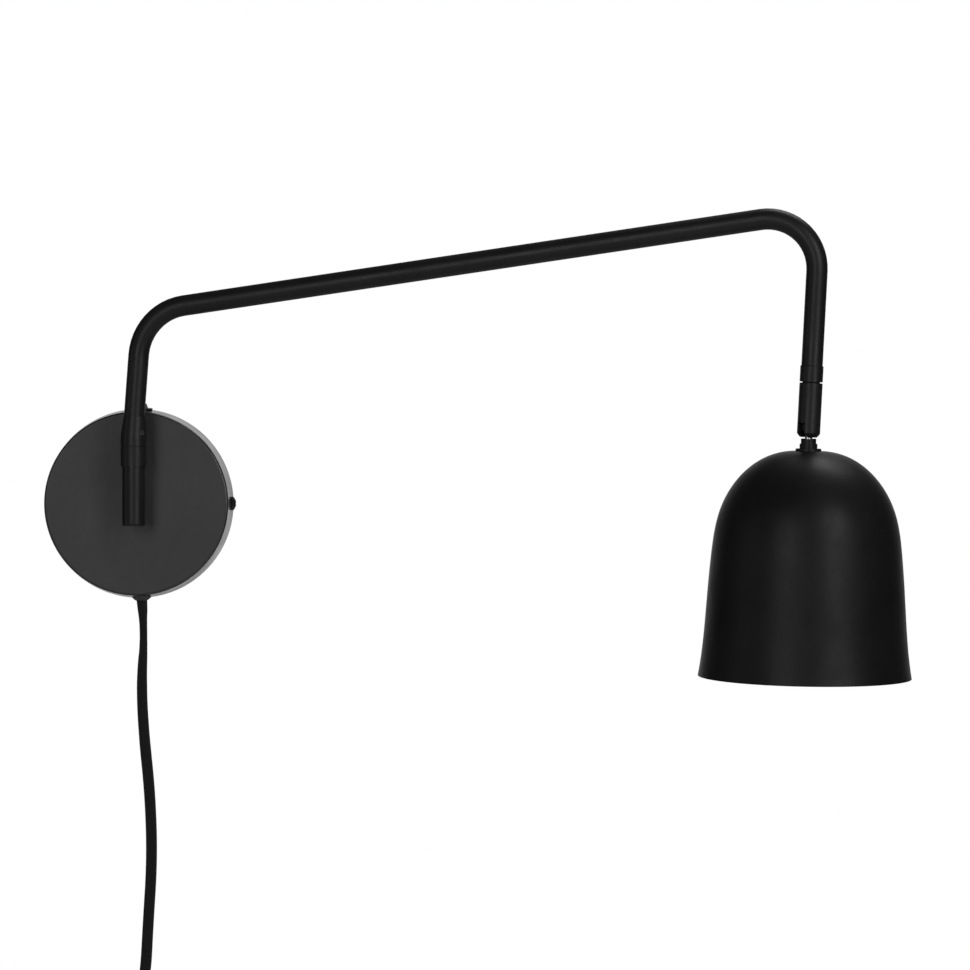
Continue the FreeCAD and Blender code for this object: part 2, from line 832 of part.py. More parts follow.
def switch_leads():
    """From the switch's two lugs down to the block, one on each side of the neck."""
    behind, before = switch_lug_end(1), switch_lug_end(-1)
    top_level = high_lead_level + 2 * high_lead_step
    live = [behind, (2.0, behind[1], top_level + 1.5)] + into_pole(pole_xs[0], top_level)
    middle_level = low_lead_level + low_lead_step / 2
    switched = [before, (4.0, before[1], 30.0), (11.0, -12.0, 16.0), (11.0, -5.0, -8.0),
                (6.0, -5.0, middle_level), (-14.0, -5.2, middle_level)]
    switched += into_pole(pole_xs[1], middle_level)
    return Part.makeCompound([lead(live), lead(switched)])


def neck_cable():
    """The lamp's own lead, through the neck, up the post and into the spindle."""
    points = [
        Vector(0, -canopy_depth + nipple_inside + neck_cable_stub, 0),
        Vector(0, -hinge_depth, 0),
        Vector(0, -hinge_depth, spindle_top - free_gap),
    ]
    return tube_along(points, inner_cable_radius, [inner_cable_radius * 2.4])


# ---- neck and post ---------------------------------------------------------------
def post_nipple():
    inner = Vector(0, -canopy_depth + nipple_inside, 0)
    outer = Vector(0, -hinge_depth + post_bore_radius + 0.1, 0)
    return ring(nipple_radius, nipple_bore_radius, inner, outer)


def neck_sleeve():
    sleeve = ring(neck_sleeve_radius, nipple_radius + thread_gap,
                  Vector(0, -canopy_depth - seat_gap, 0), Vector(0, -hinge_depth, 0))
    return sleeve.cut(Part.makeCylinder(post_radius + seat_gap, 4 * neck_sleeve_radius,
                                        hinge_foot - local_z(2 * neck_sleeve_radius)))


def lock_washer():
    face = -canopy_depth + canopy_wall + seat_gap
    return ring(lock_washer_radius, nipple_radius + thread_gap,
                Vector(0, face, 0), Vector(0, face + lock_washer_thickness, 0))


def neck_nut():
    face = -canopy_depth + canopy_wall + 2 * seat_gap + lock_washer_thickness
    return hexagon(neck_nut_half_width, nipple_radius + thread_gap,
                   Vector(0, face, 0), Vector(0, face + neck_nut_thickness, 0))


def on_hinge(height):
    return hinge_foot + local_z(height)


def wall_post():
    post = cylinder(post_radius, on_hinge(post_bottom), on_hinge(post_top))
    rounded = [e for e in post.Edges if abs(e.BoundBox.ZMax - post_bottom) < 0.01]
    post = post.makeFillet(post_edge_radius, rounded)
    post = post.cut(cylinder(post_bore_radius, on_hinge(post_bottom + post_floor),
                             on_hinge(post_top + 1)))
    post = post.cut(cylinder(spindle_radius + thread_gap,
                             on_hinge(post_top - spindle_engagement),
                             on_hinge(post_top + 1)))
    return post.cut(cylinder(nipple_radius + thread_gap, Vector(0, -hinge_depth, 0),
                             Vector(0, -canopy_depth, 0)))


def post_collar():
    return ring(collar_radius, spindle_radius + thread_gap,
                on_hinge(post_top + seat_gap), on_hinge(collar_top))


def pivot_spindle():
    """The hollow pin that the arm turns on, with a groove for the grub screw."""
    pin = ring(spindle_radius, spindle_bore_radius,
               on_hinge(post_top - spindle_engagement + seat_gap), on_hinge(spindle_top))
    middle = ferrule_bottom + grub_height
    groove = ring(spindle_radius + 1, spindle_radius - groove_depth,
                  on_hinge(middle - groove_half_height), on_hinge(middle + groove_half_height))
    return pin.cut(groove)


def hinge_washer():
    return ring(hinge_washer_radius, spindle_radius + thread_gap,
                on_hinge(collar_top + seat_gap), on_hinge(ferrule_bottom - seat_gap))


# ---- arm -------------------------------------------------------------------------
grub_turn = math.radians(grub_azimuth)
grub_way = Vector(math.sin(grub_turn), -math.cos(grub_turn), 0)


def arm_ferrule():
    """Turns on the spindle, and leans over towards its top to carry the tube."""
    waist = ferrule_bottom + ferrule_straight
    lower = Part.Wire(Part.makeCircle(collar_radius, on_hinge(waist), up))
    upper = Part.Wire(Part.makeCircle(
        ferrule_top_radius, in_arm(ferrule_top_shift, ferrule_top), up))
    body = cylinder(collar_radius, on_hinge(ferrule_bottom), on_hinge(waist))
    body = body.fuse(Part.makeLoft([lower, upper], True, True)).removeSplitter()
    body = body.cut(cylinder(spindle_radius + running_gap, on_hinge(ferrule_bottom - 1),
                             on_hinge(spindle_top + 2 * free_gap)))
    socket = cylinder(tube_radius + thread_gap, tube_start - upright_way * seat_gap,
                      upright_through + upright_way * socket_depth)
    body = body.cut(socket)
    middle = on_hinge(ferrule_bottom + grub_height)
    return body.cut(cylinder(grub_radius + thread_gap, middle, middle + grub_way * 9))


def grub_screw():
    """Its tip runs in the spindle's groove and keeps the arm on."""
    middle = on_hinge(ferrule_bottom + grub_height)
    tip = spindle_radius - groove_depth + free_gap
    body = cylinder(grub_tip_radius, middle + grub_way * tip, middle + grub_way * 6)
    body = body.fuse(cylinder(grub_radius, middle + grub_way * (spindle_radius + free_gap),
                              middle + grub_way * (collar_radius - grub_sink)))
    socket = hexagon(grub_socket_half_width, running_gap,
                     middle + grub_way * (collar_radius - grub_sink - grub_socket_depth),
                     middle + grub_way * collar_radius)
    return body.cut(socket)


def arm_tube():
    outer = tube_along(arm_points, tube_radius, arm_radii)
    inner = tube_along(arm_points, tube_radius - tube_wall, arm_radii)
    return outer.cut(inner)


def arm_cable():
    """The lead inside the tube, from the hinge down into the knuckle's core."""
    start = tube_start + upright_way * 0.5
    end = knuckle_place.multVec(local_z(core_bottom + 0.5))
    return tube_along([start, first_corner, second_corner, end], inner_cable_radius,
                      arm_radii)


# ---- knuckle ---------------------------------------------------------------------
core_top = -(end_collar_length - core_engagement)
cap_bottom = housing_top - housing_cap_thickness - seat_gap
nut_top = cap_bottom - thrust_washer_thickness - 3 * seat_gap
nut_bottom = nut_top - core_nut_thickness
core_bottom = nut_bottom - free_gap
ring_top = core_bottom - 2 * free_gap
springs_top = ring_top - seat_ring_thickness - seat_gap
spring_pitch = disc_spring_thickness + disc_spring_cone
pad_top = springs_top - disc_spring_count * spring_pitch - seat_gap
pad_bottom = ball_centre_height + ball_radius * 0.5


def end_collar():
    """Closes the tube's end: a spigot goes up inside it, and the core screws in."""
    collar = Part.makeCylinder(end_collar_radius, end_collar_length - seat_gap,
                               local_z(-end_collar_length))
    top = [e for e in collar.Edges if e.BoundBox.ZMin > -2 * seat_gap]
    collar = collar.makeFillet((end_collar_radius - tube_radius) * 0.8, top)
    spigot = Part.makeCylinder(tube_radius - tube_wall - thread_gap,
                               end_spigot_length + 1, local_z(-1))
    bore = Part.makeCylinder(core_bore_radius, end_spigot_length + end_collar_length + 1,
                             local_z(-end_collar_length))
    thread = Part.makeCylinder(core_radius + thread_gap, core_engagement,
                               local_z(-end_collar_length))
    return placed(collar.fuse(spigot).cut(bore).cut(thread), knuckle_place)


def core_nipple():
    core = ring(core_radius, core_bore_radius, local_z(core_bottom), local_z(core_top - seat_gap))
    return placed(core, knuckle_place)


def swivel_washer():
    washer = ring(swivel_washer_radius, core_radius + thread_gap,
                  local_z(housing_top + seat_gap), local_z(-end_collar_length - seat_gap))
    return placed(washer, knuckle_place)


def thrust_washer():
    washer = ring(core_nut_radius + 0.1, core_radius + thread_gap,
                  local_z(nut_top + seat_gap), local_z(cap_bottom - seat_gap))
    return placed(washer, knuckle_place)


def core_nut():
    nut = ring(core_nut_radius, core_radius + thread_gap, local_z(nut_bottom), local_z(nut_top))
    return placed(nut, knuckle_place)


def housing_cap():
    """The threaded disc that closes the housing's top, and turns on the core."""
    cap = ring(housing_bore_radius - thread_gap, core_radius + running_gap,
               local_z(cap_bottom), local_z(housing_top - seat_gap))
    return placed(cap, knuckle_place)


def knuckle_housing():
    shell = Part.makeCylinder(housing_radius, housing_length, local_z(housing_bottom))
    dome = Part.makeSphere(housing_dome_radius, local_z(ball_centre_height))
    above = Part.makeCylinder(housing_radius, housing_length, local_z(ball_centre_height))
    shell = shell.common(dome.fuse(above))
    top = [e for e in shell.Edges if e.BoundBox.ZMin > housing_top - 0.01]
    shell = shell.makeFillet(housing_top_edge, top)
    seat_radius = ball_radius + running_gap
    bore = Part.makeCylinder(housing_bore_radius, housing_length,
                             local_z(pad_bottom - free_gap))
    throat = Part.makeCylinder(seat_radius, housing_length, local_z(ball_centre_height))
    seat = Part.makeSphere(seat_radius, local_z(ball_centre_height))
    mouth = Part.makeCylinder(mouth_radius, housing_length + 2,
                              local_z(housing_bottom - 1))
    slot_top = ball_centre_height + slot_half_width
    slot = box(0, 2 * housing_radius, -slot_half_width, slot_half_width,
               housing_bottom - 1, slot_top)
    for hollow in (bore, throat, seat, mouth, slot):
        shell = shell.cut(hollow)
    return placed(shell, knuckle_place)


def seat_ring():
    """The snap ring that the disc springs push against."""
    snap = ring(housing_bore_radius - thread_gap, disc_spring_hole_radius,
                local_z(ring_top - seat_ring_thickness), local_z(ring_top))
    return placed(snap, knuckle_place)


def disc_springs():
    """A stack of coned washers, turned alternately up and down."""
    springs = []
    outer = housing_bore_radius - free_gap
    inner = disc_spring_hole_radius
    t = disc_spring_thickness - seat_gap
    for k in range(disc_spring_count):
        base = springs_top - (k + 1) * spring_pitch
        rise_in, rise_out = (disc_spring_cone, 0) if k % 2 else (0, disc_spring_cone)
        profile = [(inner, base + rise_in), (outer, base + rise_out),
                   (outer, base + rise_out + t), (inner, base + rise_in + t)]
        springs.append(placed(turned_outline(profile), knuckle_place))
    return Part.makeCompound(springs)


def pressure_pad():
    pad = ring(housing_bore_radius - thread_gap, stem_bore_radius + 0.6,
               local_z(pad_bottom), local_z(pad_top))
    pad = pad.cut(Part.makeSphere(ball_radius + running_gap, local_z(ball_centre_height)))
    return placed(pad, knuckle_place)


# ---- head: everything below is measured from the ball's centre -------------------
neck_rim = -math.sqrt(cup_clearance ** 2 - neck_radius ** 2)
neck_bottom = neck_rim - neck_length
washer_bottom = -(washer_top + washer_thickness)
shade_top = washer_bottom - seat_gap
shade_inside_top = shade_top - shade_wall
cap_top = shade_inside_top - seat_gap
cap_low = cap_top - holder_cap_height
thread_bottom = cap_top - stem_thread_length
holder_bottom = cap_low - holder_height
lamp_top = holder_bottom + lamp_cap_length
lamp_bottom = lamp_top - lamp_length
wire_bottom = cap_low - 2.0


def ball_stem():
    """Ball, stem and threaded neck in one piece. The neck's hollow top clears the
    housing at every tilt."""
    ball = Part.makeSphere(ball_radius)
    stem = Part.makeCylinder(stem_radius, cup_clearance + 0.5, local_z(-cup_clearance - 0.5))
    neck = Part.makeCylinder(neck_radius, -neck_bottom, local_z(neck_bottom))
    neck = neck.cut(Part.makeSphere(cup_clearance))
    foot = Part.makeCylinder(thread_radius, neck_bottom - thread_bottom, local_z(thread_bottom))
    whole = ball.fuse([stem, neck, foot])
    bore = Part.makeCylinder(stem_bore_radius, 4 * thread_radius - thread_bottom,
                             local_z(thread_bottom - 1))
    return placed(whole.cut(bore), head_place)


def shade_washer():
    washer = ring(washer_radius, thread_radius + thread_gap,
                  local_z(washer_bottom), local_z(-washer_top))
    return placed(washer, head_place)


def shade_profile(inset):
    """The bell's outline from its flat crown to its rim, moved in by a wall."""
    top = shade_top - inset
    crown = Vector(shade_crown_radius, 0, top)
    shoulder = Vector(shade_shoulder_radius - inset * 0.85, 0,
                      shade_top - shade_shoulder_height - inset * 0.4)
    waist = Vector(shade_waist_radius - inset, 0, shade_top - shade_waist_height)
    skirt = Vector(shade_skirt_radius - inset, 0, shade_top - shade_skirt_height)
    flare = Vector(shade_flare_radius - inset, 0, shade_top - shade_flare_height)
    rim = Vector(shade_rim_radius - inset, 0, shade_top - shade_height)
    side = Part.BSplineCurve()
    side.interpolate([crown, Vector(shade_dome_radius - 0.5 * inset, 0,
                                    shade_top - shade_dome_height - 0.86 * inset),
                      shoulder, waist, skirt, flare, rim])
    return crown, side.toShape(), rim


def shade():
    crown, outer, rim = shade_profile(0)
    inner_crown, inner, inner_rim = shade_profile(shade_wall)
    hole = thread_radius + shade_hole_gap
    start = Vector(hole, 0, crown.z)
    inner_start = Vector(hole, 0, inner_crown.z)
    edges = [
        Part.makeLine(start, crown), outer, Part.makeLine(rim, inner_rim), inner,
        Part.makeLine(inner_crown, inner_start), Part.makeLine(inner_start, start),
    ]
    return placed(turned(Part.__sortEdges__(edges)), head_place)


def holder_cap():
    """The lampholder's upper half. It screws on the neck and clamps the shade."""
    outer = [(thread_radius + thread_gap, cap_top), (holder_cap_top_radius, cap_top),
             (holder_radius, cap_top - holder_shoulder), (holder_radius, cap_low),
             (holder_radius - holder_wall, cap_low),
             (holder_radius - holder_wall, cap_top - holder_shoulder - holder_floor_thickness),
             (thread_radius + thread_gap, cap_top - holder_shoulder - holder_floor_thickness)]
    return placed(turned_outline(outer), head_place)


def holder_body():
    """The lampholder's skirt, with a floor that carries the contacts."""
    top = cap_low - seat_gap
    floor = holder_bottom + holder_mouth_depth
    profile = [(wire_radius * 4, top), (holder_radius, top), (holder_radius, holder_bottom),
               (holder_radius - holder_wall, holder_bottom),
               (holder_radius - holder_wall, floor), (wire_radius * 4, floor)]
    return placed(turned_outline(profile), head_place)


def holder_ring():
    """The threaded ring round the skirt, below the cap."""
    inner = holder_radius + thread_gap
    body = ring(holder_ring_radius, inner, local_z(cap_low - holder_ring_drop - holder_ring_height),
                local_z(cap_low - holder_ring_drop))
    for k in range(ring_notch_count):
        angle = 2 * math.pi * k / ring_notch_count
        notch = Part.makeCylinder(ring_notch_radius, holder_ring_height + 2, Vector(
            (holder_ring_radius + free_gap) * math.cos(angle),
            (holder_ring_radius + free_gap) * math.sin(angle),
            cap_low - holder_ring_drop - holder_ring_height - 1))
        body = body.cut(notch)
    return placed(body, head_place)


def holder_shell():
    """The threaded metal shell that grips the lamp's cap."""
    inner = lamp_cap_radius + shade_hole_gap
    floor = holder_bottom + holder_mouth_depth - seat_gap
    shell = ring(holder_radius - holder_wall - thread_gap, inner,
                 local_z(holder_bottom + shell_mouth), local_z(floor - contact_height))
    return placed(shell, head_place)


def holder_contact():
    """The sprung centre contact on the holder's floor."""
    floor = holder_bottom + holder_mouth_depth - seat_gap
    tongue = box(-contact_half_length, contact_half_length, -contact_half_width,
                 contact_half_width, floor - contact_thickness, floor)
    foot = lamp_top + seat_gap
    nose = Part.makeCylinder(contact_nose_radius, floor - contact_thickness - foot, local_z(foot))
    return placed(tongue.fuse(nose), head_place)


def lamp_cap():
    """The lamp's screw cap with rolled ridges and a centre contact."""
    low = lamp_top - lamp_cap_length
    glass_top = lamp_top - cap_insulator_height
    valley = lamp_cap_radius - cap_ridge_depth
    points = [(0, lamp_top), (cap_contact_radius, lamp_top),
              (cap_contact_radius, lamp_top - cap_contact_height),
              (cap_insulator_radius, glass_top), (valley, glass_top)]
    for k in range(cap_ridge_count):
        z = glass_top - cap_ridge_pitch * k
        points.append((lamp_cap_radius, z - cap_ridge_pitch * 0.5))
        points.append((valley, z - cap_ridge_pitch))
    points.append((valley, low))
    points.append((0, low))
    return placed(turned_outline(points), head_place)


def lamp_globe():
    """The lamp's plastic collar and opal globe as one blown outline."""
    top = lamp_top - lamp_cap_length - seat_gap
    globe_z = lamp_bottom + lamp_globe_radius
    neck_angle = math.asin(lamp_collar_radius / lamp_globe_radius)
    neck_z = globe_z + lamp_globe_radius * math.cos(neck_angle)
    side_z = globe_z + lamp_globe_radius * math.cos((math.pi + neck_angle) / 2)
    side_r = lamp_globe_radius * math.sin((math.pi + neck_angle) / 2)
    edges = [
        Part.makeLine(Vector(0, 0, top), Vector(lamp_foot_radius, 0, top)),
        Part.makeLine(Vector(lamp_foot_radius, 0, top), Vector(lamp_collar_radius, 0, neck_z)),
        Part.Arc(Vector(lamp_collar_radius, 0, neck_z), Vector(side_r, 0, side_z),
                 Vector(0, 0, lamp_bottom)).toShape(),
        Part.makeLine(Vector(0, 0, lamp_bottom), Vector(0, 0, top)),
    ]
    return placed(turned(edges), head_place)


def head_wires():
    """Two single cores through the stem's bore to the holder's floor."""
    wires = []
    for side in (-wire_half_pitch, wire_half_pitch):
        wires.append(placed(Part.makeCylinder(wire_radius, -wire_bottom,
                                              Vector(side, 0, wire_bottom)), head_place))
    return Part.makeCompound(wires)


# ---- power cord ------------------------------------------------------------------
def cord_tube(points, name):
    wire, radii = path(points)
    solid = tube_along(points, cord_width / 2)
    expected = math.pi * (cord_width / 2) ** 2 * wire.Length
    print(name, "length", round(wire.Length, 1), "radii", [round(r) for r in radii],
          "volume ratio", round(solid.Volume / expected, 4))
    return solid


def power_cord():
    return cord_tube([Vector(*p) for p in cord_route], "power_cord")


def cord_end():
    return cord_tube([Vector(*p) for p in tail_route], "cord_end")


def coil_section(extra):
    """An upright oval, the shape of the bundle of turns where it is cut."""
    centre = Vector(coil_centre_x + coil_radius, coil_centre_y, coil_centre_z)
    major = max(coil_half_width, coil_half_depth) + extra
    minor = min(coil_half_width, coil_half_depth) + extra
    oval = Part.Ellipse(centre, major, minor)
    oval.Axis = Vector(0, 0, 1)
    return Part.Face(Part.Wire(oval.toShape()))


def coil_turn(face, start, sweep):
    """Part of the coil's ring, from one angle through another."""
    centre = Vector(coil_centre_x, coil_centre_y, coil_centre_z)
    way = Vector(0, -1, 0)
    piece = face.revolve(centre, way, sweep)
    piece.rotate(centre, way, start)
    return piece


def cord_coil():
    """The coiled spare length, as one solid of its outer shape."""
    return coil_turn(coil_section(0), 0, 360)


def cord_tie():
    """A strap round the bundle of turns."""
    sweep = math.degrees(tie_width / coil_radius)
    start = tie_angle - sweep / 2
    outer = coil_turn(coil_section(tie_thickness), start, sweep)
    inner = coil_turn(coil_section(seat_gap), start - 5, sweep + 10)
    return outer.cut(inner)


plug_top = Vector(*tail_route[-1])


def plug_relief():
    """The ribbed sleeve where the cord enters the plug."""
    z = plug_top.z - seat_gap
    relief = cone(plug_relief_radius - 0.8, plug_relief_radius + 0.7,
                  Vector(plug_top.x, plug_top.y, z),
                  Vector(plug_top.x, plug_top.y, z - plug_relief_length))
    for k in range(4):
        low = z - 3.5 - 4.2 * k
        relief = relief.cut(ring(plug_relief_radius + 3, plug_relief_radius - 1.2 + 0.25 * k,
                                 Vector(plug_top.x, plug_top.y, low - 1.6),
                                 Vector(plug_top.x, plug_top.y, low)))
    return relief


plug_body_top = plug_top.z - plug_relief_length - 2 * seat_gap


def plug_body():
    """A flat two-pin plug body, narrower at the cord's end."""
    sections = []
    shape = [(0, 0.55, 0.85), (0.3, 0.85, 1.0), (0.75, 1.0, 1.0), (1.0, 0.97, 0.94)]
    for share, wide, thick in shape:
        z = plug_body_top - share * plug_length
        a = plug_half_width * wide
        b = plug_half_thickness * thick
        oval = Part.Ellipse(Vector(plug_top.x, plug_top.y, z), a, b)
        sections.append(Part.Wire(oval.toShape()))
    return Part.makeLoft(sections, True, False)


def plug_pins():
    low = plug_body_top - plug_length - seat_gap
    pins = []
    for side in (-1, 1):
        x = plug_top.x + side * pin_spacing / 2
        pin = cylinder(pin_radius, Vector(x, plug_top.y, low),
                       Vector(x, plug_top.y, low - pin_length + pin_radius))
        tip = Part.makeSphere(pin_radius, Vector(x, plug_top.y, low - pin_length + pin_radius))
        pins.append(pin.fuse(tip).removeSplitter())
    return Part.makeCompound(pins)


# ---- all nodes -------------------------------------------------------------------
pieces = [
    canopy, wall_bracket, canopy_hook, canopy_screw,
    switch_bushing, switch_nut, switch_body, switch_lever,
    cord_grommet, cord_tail, cord_clamp, clamp_screws,
    terminal_block, terminal_screws, supply_leads, lamp_leads, switch_leads, neck_cable,
    post_nipple, neck_sleeve, lock_washer, neck_nut,
    wall_post, post_collar, pivot_spindle, hinge_washer,
    arm_ferrule, grub_screw, arm_tube, arm_cable,
    end_collar, core_nipple, swivel_washer, thrust_washer, core_nut,
    housing_cap, knuckle_housing, seat_ring, disc_springs, pressure_pad,
    ball_stem, shade_washer, shade,
    holder_cap, holder_body, holder_ring, holder_shell, holder_contact,
    lamp_cap, lamp_globe, head_wires,
    power_cord, cord_coil, cord_tie, cord_end,
    plug_relief, plug_body, plug_pins,
]

os.makedirs("parts", exist_ok=True)
for piece in pieces:
    piece().exportStep("parts/" + piece.__name__ + ".step")
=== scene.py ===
"""Looks of a plug-in wall lamp with a swinging arm and a hanging bell shade.

Metres, in the part's own frame: +X along the wall to the right, +Z up, -Y into the room.
"""

import math

import bmesh
import bpy
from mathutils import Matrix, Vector


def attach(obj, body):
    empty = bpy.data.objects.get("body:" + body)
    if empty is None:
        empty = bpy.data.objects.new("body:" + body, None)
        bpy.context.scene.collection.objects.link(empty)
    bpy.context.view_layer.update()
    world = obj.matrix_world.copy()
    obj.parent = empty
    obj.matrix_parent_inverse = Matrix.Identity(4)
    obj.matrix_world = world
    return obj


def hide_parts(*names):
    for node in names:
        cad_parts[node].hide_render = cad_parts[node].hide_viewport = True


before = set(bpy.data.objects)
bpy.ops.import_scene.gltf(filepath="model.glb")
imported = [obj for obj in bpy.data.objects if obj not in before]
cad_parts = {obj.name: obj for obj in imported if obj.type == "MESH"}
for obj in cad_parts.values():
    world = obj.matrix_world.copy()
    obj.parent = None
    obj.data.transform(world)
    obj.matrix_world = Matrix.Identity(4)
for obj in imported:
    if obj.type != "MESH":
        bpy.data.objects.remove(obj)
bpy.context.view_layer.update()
MM = 0.001
# of the tilting ball, and the way that the shade hangs from it
BALL_CENTRE = (0.3846501, -0.1161628, 0.0433351)
HEAD_AXIS = (-0.0135248, 0.0470916, -0.9987990)

# ---- camera ----------------------------------------------------------------------
CAMERA_PLACE = (0.2032, -2.5, 0.0108)
IMAGE_SIZE = 970            # pixels, both ways
FOCAL_PIXELS = 4254.0
SENSOR = 36.0               # millimetres

camera_data = bpy.data.cameras.new("camera")
camera_data.sensor_width = SENSOR
camera_data.lens = SENSOR * FOCAL_PIXELS / IMAGE_SIZE
camera_data.clip_start = 0.05
camera_data.clip_end = 60.0
camera = bpy.data.objects.new("camera", camera_data)
camera.location = CAMERA_PLACE
camera.rotation_euler = (math.radians(90), 0, 0)
bpy.context.scene.collection.objects.link(camera)
bpy.context.scene.camera = camera

# ---- cord ------------------------------------------------------------------------
CORD_WIDTH = 6.5 * MM
CORD_THICKNESS = 4.4 * MM
CORD_ROUTE = [
    (2.6, -11.5, -57.9),
    (4.0, -11.6, -76.0),
    (2.2, -11.9, -104.0),
    (3.6, -12.2, -134.0),
    (7.4, -12.4, -170.0),
    (8.6, -12.5, -208.0),
    (6.2, -12.5, -246.0),
    (4.6, -12.6, -278.0),
    (-1.5, -12.7, -297.0),
    (-17.0, -12.9, -311.0),
    (-35.0, -13.1, -324.0),
    (-43.0, -13.3, -342.0),
    (-41.5, -13.4, -360.5),
]
TAIL_ROUTE = [
    (-35.8, -13.6, -381.0),
    (-38.5, -13.4, -399.5),
    (-38.5, -13.4, -417.5),
]
COIL_CENTRE = (5.0, -13.2, -362.0)
COIL_RADIUS = 36.0
COIL_START = 192.0          # degrees, seen from the room, anticlockwise from +X
COIL_END = 6 * 360 + 186.0
COIL_STEPS = 16             # points for each turn
# where each turn lies in the bundle, as (outwards, off the wall) from its middle
COIL_PLACES = [(6.6, 0.0), (3.3, -5.7), (-3.3, -5.7), (0.0, 0.0), (-3.3, 5.7), (3.3, 5.7),
               (6.6, 0.4)]
COIL_CROSSING = 0.3         # share of a turn in which the cord moves to its next place
# the flat side's direction along the hanging cord, as (z in mm, degrees from +X)
CORD_TWIST = [(-57.9, 38.0), (-71.0, 90.0), (-110.0, 150.0), (-150.0, 180.0),
              (-250.0, 176.0), (-300.0, 200.0), (-345.0, 270.0), (-600.0, 270.0)]


def blend_value(table, x):
    """A smooth value between the rows of a falling (x, value) table."""
    if x >= table[0][0]:
        return table[0][1]
    for (x0, v0), (x1, v1) in zip(table, table[1:]):
        if x >= x1:
            t = (x0 - x) / (x0 - x1)
            return v0 + (v1 - v0) * t * t * (3 - 2 * t)
    return table[-1][1]


def coil_points():
    """The coil's turns, each in its own place in the bundle."""
    points = []
    steps = round((COIL_END - COIL_START) / 360 * COIL_STEPS)
    for k in range(steps + 1):
        angle = COIL_START + (COIL_END - COIL_START) * k / steps
        turn = (angle - COIL_START) / 360
        now = min(int(turn), len(COIL_PLACES) - 2)
        share = (turn - now - (1 - COIL_CROSSING)) / COIL_CROSSING
        share = min(max(share, 0.0), 1.0)
        share = share * share * (3 - 2 * share)
        out = COIL_PLACES[now][0] * (1 - share) + COIL_PLACES[now + 1][0] * share
        off = COIL_PLACES[now][1] * (1 - share) + COIL_PLACES[now + 1][1] * share
        radius = COIL_RADIUS + out
        a = math.radians(angle)
        points.append((COIL_CENTRE[0] + radius * math.cos(a), COIL_CENTRE[1] - off,
                       COIL_CENTRE[2] + radius * math.sin(a)))
    return points


def spline_line(name, points):
    """Points along the smooth curve that a route's points pull."""
    data = bpy.data.curves.new(name, "CURVE")
    data.dimensions = "3D"
    spline = data.splines.new("NURBS")
    spline.points.add(len(points) - 1)
    for point, place in zip(spline.points, points):
        point.co = (*(c * MM for c in place), 1.0)
    spline.order_u = 3
    spline.use_endpoint_u = True
    spline.resolution_u = 8
    curve = bpy.data.objects.new(name, data)
    bpy.context.scene.collection.objects.link(curve)
    bpy.context.view_layer.update()
    mesh = bpy.data.meshes.new_from_object(curve)
    line = [v.co.copy() for v in mesh.vertices]
    bpy.data.objects.remove(curve)
    bpy.data.meshes.remove(mesh)
    return line


def flat_outline(width, thickness, arc_points=6):
    """A stadium's points, its width along the first axis."""
    radius = thickness / 2
    half = width / 2 - radius
    outline = []
    for side, first in ((1, -90), (-1, 90)):
        for k in range(arc_points + 1):
            a = math.radians(first + 180 * k / arc_points)
            outline.append((side * half + radius * math.cos(a), radius * math.sin(a)))
    return outline


def object_from(name, bm, smooth=True):
    mesh = bpy.data.meshes.new(name)
    bmesh.ops.recalc_face_normals(bm, faces=bm.faces)
    for face in bm.faces:
        face.smooth = smooth
    bm.to_mesh(mesh)
    bm.free()
    piece = bpy.data.objects.new(name, mesh)
    bpy.context.scene.collection.objects.link(piece)
    return piece


def flat_cord(name, line, outline, turn_at):
    """A flat cord swept along a line. Its UVs are metres, round it and along it."""
    bm = bmesh.new()
    uv = bm.loops.layers.uv.new("UVMap")
    around = [0.0]
    for a, b in zip(outline, outline[1:] + outline[:1]):
        around.append(around[-1] + math.dist(a, b))
    rings = []
    along = [0.0]
    for k, point in enumerate(line):
        ahead = line[min(k + 1, len(line) - 1)] - line[max(k - 1, 0)]
        tangent = ahead.normalized()
        turn = math.radians(turn_at(point))
        wide = Vector((math.cos(turn), math.sin(turn), 0))
        wide = (wide - tangent * wide.dot(tangent)).normalized()
        thin = tangent.cross(wide)
        rings.append([bm.verts.new(point + wide * x + thin * y) for x, y in outline])
        if k:
            along.append(along[-1] + (point - line[k - 1]).length)
    count = len(outline)
    for k in range(len(rings) - 1):
        for j in range(count):
            n = (j + 1) % count
            face = bm.faces.new((rings[k][j], rings[k][n], rings[k + 1][n], rings[k + 1][j]))
            corners = ((around[j], along[k]), (around[j + 1], along[k]),
                       (around[j + 1], along[k + 1]), (around[j], along[k + 1]))
            for loop, place in zip(face.loops, corners):
                loop[uv].uv = place
    bm.faces.new(rings[0])
    bm.faces.new(rings[-1])
    return object_from(name, bm)


cord_line = spline_line("cord_line", CORD_ROUTE + coil_points() + TAIL_ROUTE)
cord = flat_cord("cord", cord_line, flat_outline(CORD_WIDTH, CORD_THICKNESS),
                 lambda p: blend_value(CORD_TWIST, p.z / MM))
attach(cord, "wall_side")
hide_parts("power_cord", "cord_coil", "cord_end")

# ---- materials -------------------------------------------------------------------
COAT_SPECULAR = 0.13
PLATE_SPECULAR = 0.28
SHADE_SPECULAR = 0.10
PLATE_RIM = (52.0 * MM, 53.5 * MM)      # from the canopy's axis: its rounded edge
RIM_POLISH = 0.26           # roughness that the canopy's side wall lacks
SLEEVE_SHEEN = 0.04
SLEEVE_SPECULAR = 0.12
BRAID_SLANT = 0.62          # threads along the cord for each one round it
STEM_BALL = 4.8 * MM        # bare metal starts at this distance from the ball's centre
STEM_BARE = 2.3 * MM        # and ends at this distance from the head's axis
MASK_EDGE = 1.02            # a mask's soft edge, as a share of its radius
STEM_BLACK = (0.0045, 0.0045, 0.0046)
STEM_METAL = (0.40, 0.40, 0.39)


